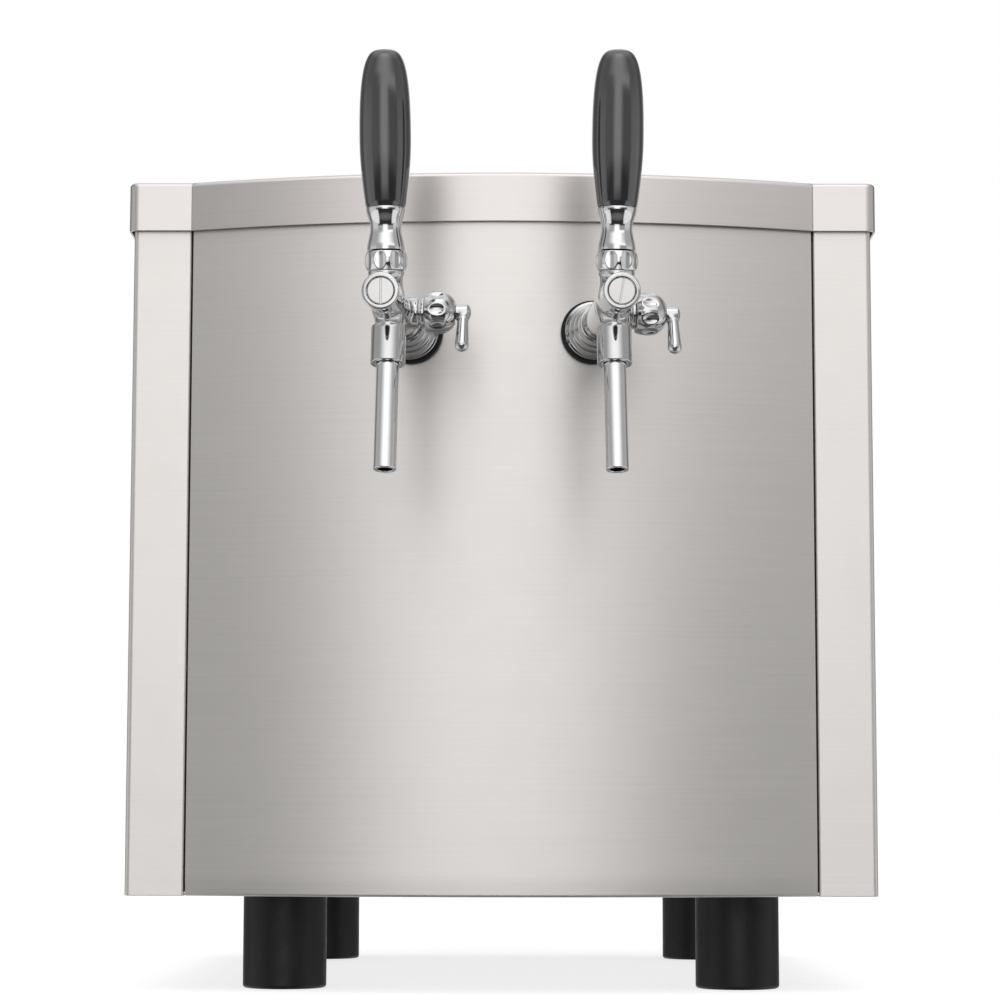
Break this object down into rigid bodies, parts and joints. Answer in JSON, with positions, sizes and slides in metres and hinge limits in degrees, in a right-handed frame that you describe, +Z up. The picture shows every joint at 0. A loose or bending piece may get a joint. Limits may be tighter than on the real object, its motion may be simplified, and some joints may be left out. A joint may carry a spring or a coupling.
{
  "type": "draft beer dispenser",
  "caption": "Countertop ice-cooled beer dispenser: stainless cabinet with a bowed front, lift-off lid, black feet and chrome lever taps with flow compensators.",
  "frame": {"origin": "on the counter, under the middle of the whole outline", "axes": "+Z up; -Y out of the front, towards the person at the taps; +X to that person's right"},
  "size_m": [0.446, 0.6917, 0.5192],
  "materials": {
    "panel_steel": "stainless sheet with a fine level grain",
    "inner_steel": "plain mill-finish stainless sheet",
    "foam": "pale closed-cell foam board",
    "coil_steel": "drawn stainless tube",
    "foot_rubber": "matte black moulded rubber",
    "seal_rubber": "black rubber",
    "fastener_steel": "turned stainless steel",
    "chrome": "polished chrome plate",
    "brass": "machined brass",
    "grip_black": "polished black moulded grip",
    "cone_white": "white machined plastic"
  },
  "bodies": {
    "cabinet": {"front_panel": "panel_steel", "side_panel_left": "panel_steel", "side_panel_right": "panel_steel", "rear_panel": "panel_steel", "base_plate": "inner_steel", "inner_tank": "inner_steel", "tank_floor": "inner_steel", "coil_grid": "inner_steel", "insulation_front": "foam", "insulation_rear": "foam", "insulation_left": "foam", "insulation_right": "foam", "insulation_base": "foam", "cooling_coil_left": "coil_steel", "cooling_coil_right": "coil_steel", "foot_front_left": "foot_rubber", "foot_front_right": "foot_rubber", "foot_rear_left": "foot_rubber", "foot_rear_right": "foot_rubber", "flange_washer_left": "seal_rubber", "flange_washer_right": "seal_rubber", "foot_bolts": "fastener_steel", "panel_screws": "fastener_steel", "inlet_nuts": "fastener_steel", "beer_inlet_left": "chrome", "beer_inlet_right": "chrome", "flange_left": "chrome", "flange_right": "chrome", "shank_left": "chrome", "shank_right": "chrome", "tap_body_left": "chrome", "tap_body_right": "chrome", "front_plug_left": "chrome", "front_plug_right": "chrome", "collar_nut_left": "chrome", "collar_nut_right": "chrome", "spout_left": "chrome", "spout_right": "chrome", "gland_nut_left": "chrome", "gland_nut_right": "chrome", "drain_body": "brass", "drain_nut": "brass", "shank_nuts": "brass"},
    "lid": {"lid_cap": "panel_steel", "lid_foam": "foam", "lid_liner": "inner_steel", "lid_gasket": "seal_rubber"},
    "drain_key": {"drain_key": "chrome"},
    "tap_lever_left": {"grip_left": "grip_black", "ferrule_left": "chrome", "lever_stem_left": "fastener_steel"},
    "valve_left": {"valve_piston_left": "brass"},
    "compensator_left": {"compensator_lever_left": "chrome"},
    "cone_left": {"compensator_cone_left": "cone_white"},
    "tap_lever_right": {"grip_right": "grip_black", "ferrule_right": "chrome", "lever_stem_right": "fastener_steel"},
    "valve_right": {"valve_piston_right": "brass"},
    "compensator_right": {"compensator_lever_right": "chrome"},
    "cone_right": {"compensator_cone_right": "cone_white"}
  },
  "joints": [
    {"name": "lid_lift", "type": "slide", "parent": "cabinet", "child": "lid", "axis": [0, 0, 1], "range_m": [0, 0.25]},
    {"name": "drain_turn", "type": "hinge", "parent": "cabinet", "child": "drain_key", "pos_m": [0.13, 0.31488, 0.104], "axis": [0, 0, 1], "range_deg": [0, 90]},
    {"name": "pour_left", "type": "hinge", "parent": "cabinet", "child": "tap_lever_left", "pos_m": [-0.06311, -0.32152, 0.404], "axis": [0.9961, -0.0886, 0], "range_deg": [-14, 25]},
    {"name": "valve_slide_left", "type": "slide", "parent": "cabinet", "child": "valve_left", "axis": [0.0886, 0.9961, 0], "range_m": [-0.00495, 0.00875]},
    {"name": "compensator_turn_left", "type": "hinge", "parent": "cabinet", "child": "compensator_left", "pos_m": [-0.05895, -0.2747, 0.3834], "axis": [-0.9961, 0.0886, 0], "range_deg": [-70, 70]},
    {"name": "cone_slide_left", "type": "slide", "parent": "cabinet", "child": "cone_left", "axis": [0.0886, 0.9961, 0], "range_m": [-0.00195, 0.00195]},
    {"name": "pour_right", "type": "hinge", "parent": "cabinet", "child": "tap_lever_right", "pos_m": [0.06311, -0.32152, 0.404], "axis": [0.9961, 0.0886, 0], "range_deg": [-14, 25]},
    {"name": "valve_slide_right", "type": "slide", "parent": "cabinet", "child": "valve_right", "axis": [-0.0886, 0.9961, 0], "range_m": [-0.00495, 0.00875]},
    {"name": "compensator_turn_right", "type": "hinge", "parent": "cabinet", "child": "compensator_right", "pos_m": [0.05895, -0.2747, 0.3834], "axis": [-0.9961, -0.0886, 0], "range_deg": [-70, 70]},
    {"name": "cone_slide_right", "type": "slide", "parent": "cabinet", "child": "cone_right", "axis": [-0.0886, 0.9961, 0], "range_m": [-0.00195, 0.00195]}
  ],
  "couplings": [
    {"joint": "valve_slide_left", "follows": "pour_left", "m_per_rad": 0.019908},
    {"joint": "cone_slide_left", "follows": "compensator_turn_left", "m_per_rad": 0.0015383},
    {"joint": "valve_slide_right", "follows": "pour_right", "m_per_rad": 0.019908},
    {"joint": "cone_slide_right", "follows": "compensator_turn_right", "m_per_rad": 0.0015383}
  ]
}
